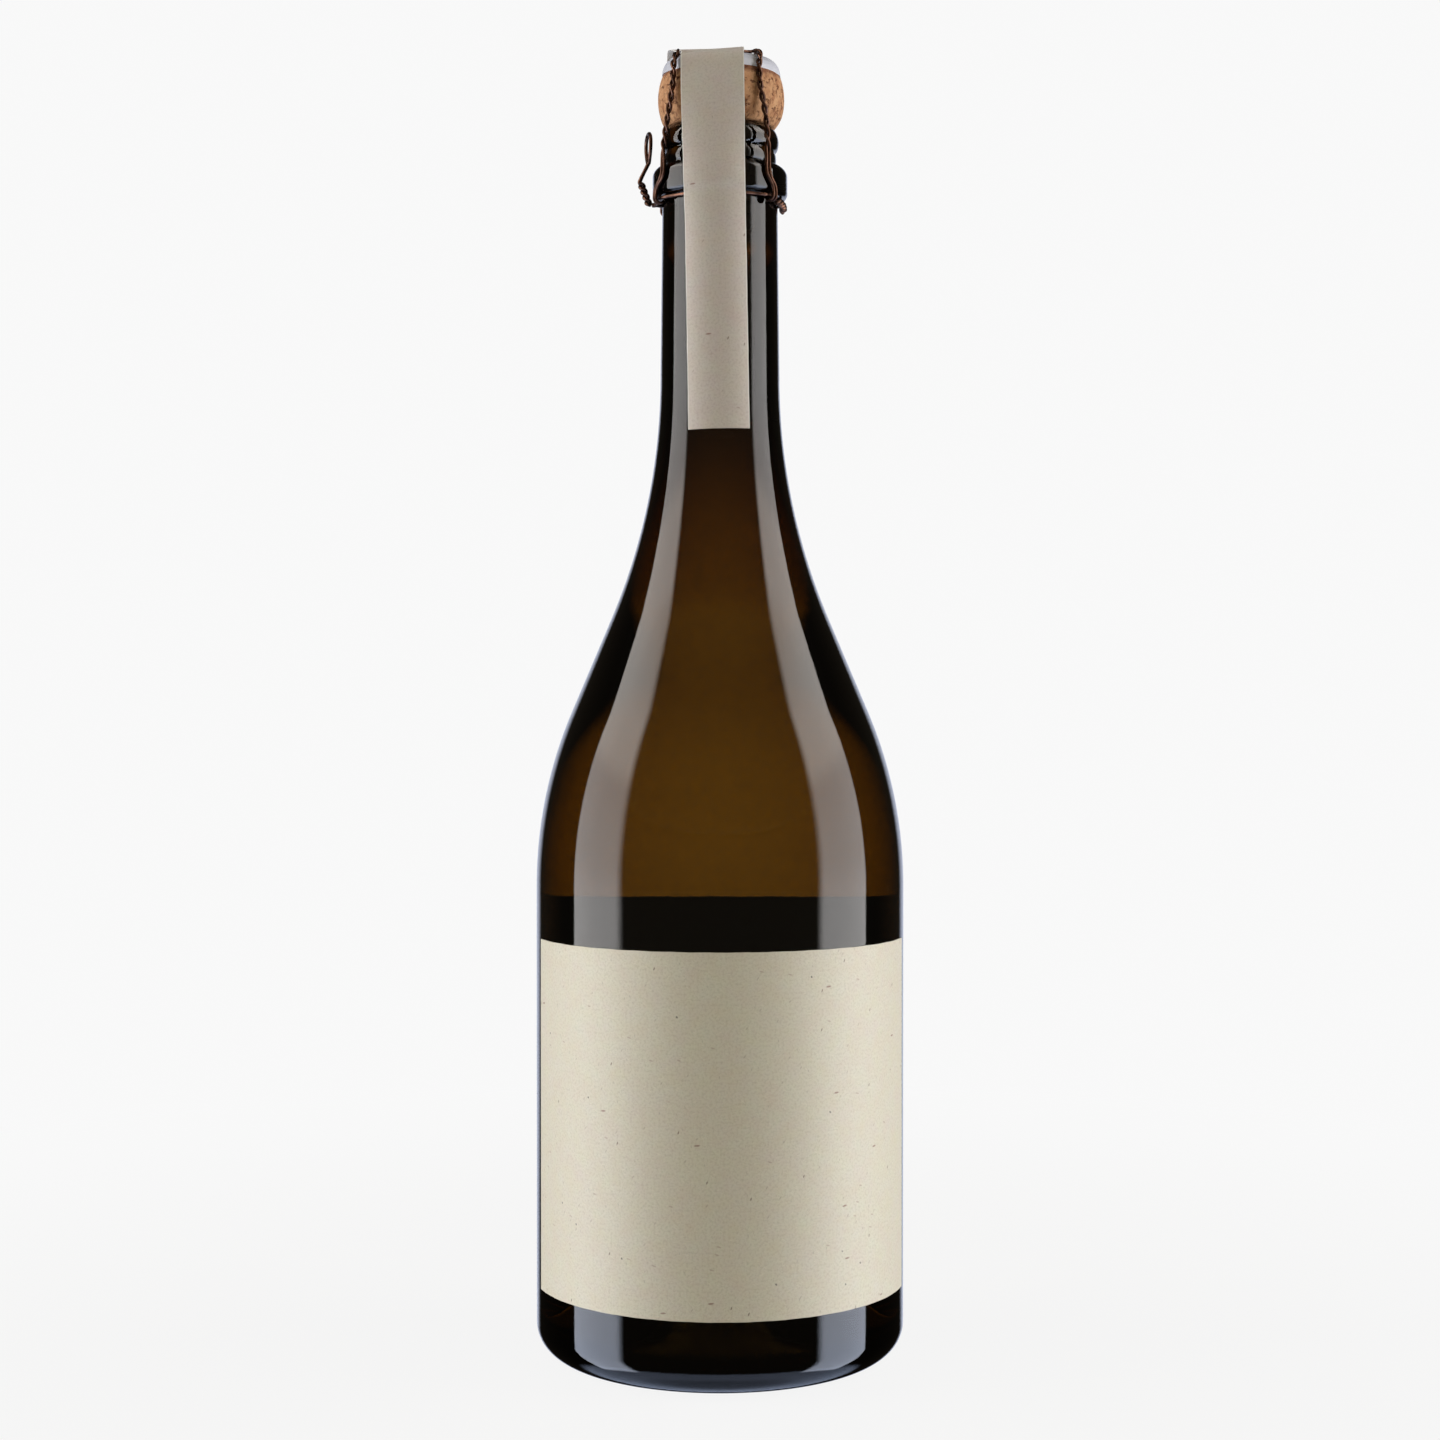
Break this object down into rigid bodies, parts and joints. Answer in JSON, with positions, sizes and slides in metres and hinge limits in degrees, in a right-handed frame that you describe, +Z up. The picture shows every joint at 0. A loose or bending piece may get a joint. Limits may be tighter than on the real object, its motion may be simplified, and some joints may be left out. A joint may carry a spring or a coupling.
{
  "type": "sparkling-wine bottle",
  "caption": "Corked sparkling-wine bottle of amber glass with a twisted-wire cage, metal cap, paper labels and a paper seal strip over the cork.",
  "frame": {"origin": "centre of the base, on the plane that the bottle stands on", "axes": "+Z up along the bottle, -Y towards the front label, +X to its right"},
  "size_m": [0.0888, 0.0898, 0.3169],
  "materials": {
    "amber_glass": "clear amber glass, polished",
    "label_paper": "matt uncoated paper, off-white",
    "agglomerated_cork": "pressed cork grains",
    "natural_cork": "natural cork",
    "lacquered_steel": "pale lacquer, satin",
    "bronzed_steel": "dark bronze-coloured wire",
    "strip_paper": "matt uncoated paper, white underside"
  },
  "bodies": {
    "bottle_body": {"bottle": "amber_glass", "front_label": "label_paper", "back_label": "label_paper"},
    "cork_plug": {"cork_body": "agglomerated_cork", "cork_disc_upper": "natural_cork", "cork_disc_lower": "natural_cork"},
    "cage": {"metal_cap": "lacquered_steel", "cage_wire": "bronzed_steel", "belt_front": "bronzed_steel", "belt_back": "bronzed_steel"},
    "loop": {"pull_loop": "bronzed_steel"},
    "seal": {"seal_strip": "strip_paper"}
  },
  "joints": [
    {"name": "cork_pull", "type": "slide", "parent": "bottle_body", "child": "cork_plug", "axis": [0, 0, 1], "range_m": [0, 0.05]},
    {"name": "cage_lift", "type": "slide", "parent": "cork_plug", "child": "cage", "axis": [0, 0, 1], "range_m": [0, 0.06], "deforming": ["cage_wire", "belt_front", "belt_back"]},
    {"name": "loop_fold", "type": "hinge", "parent": "cage", "child": "loop", "pos_m": [-0.01715, 0, 0.27795], "axis": [0, -1, 0], "range_deg": [0, 140]},
    {"name": "strip_lift", "type": "slide", "parent": "cage", "child": "seal", "axis": [0, 0, 1], "range_m": [0, 0.1], "deforming": ["seal_strip"]}
  ]
}
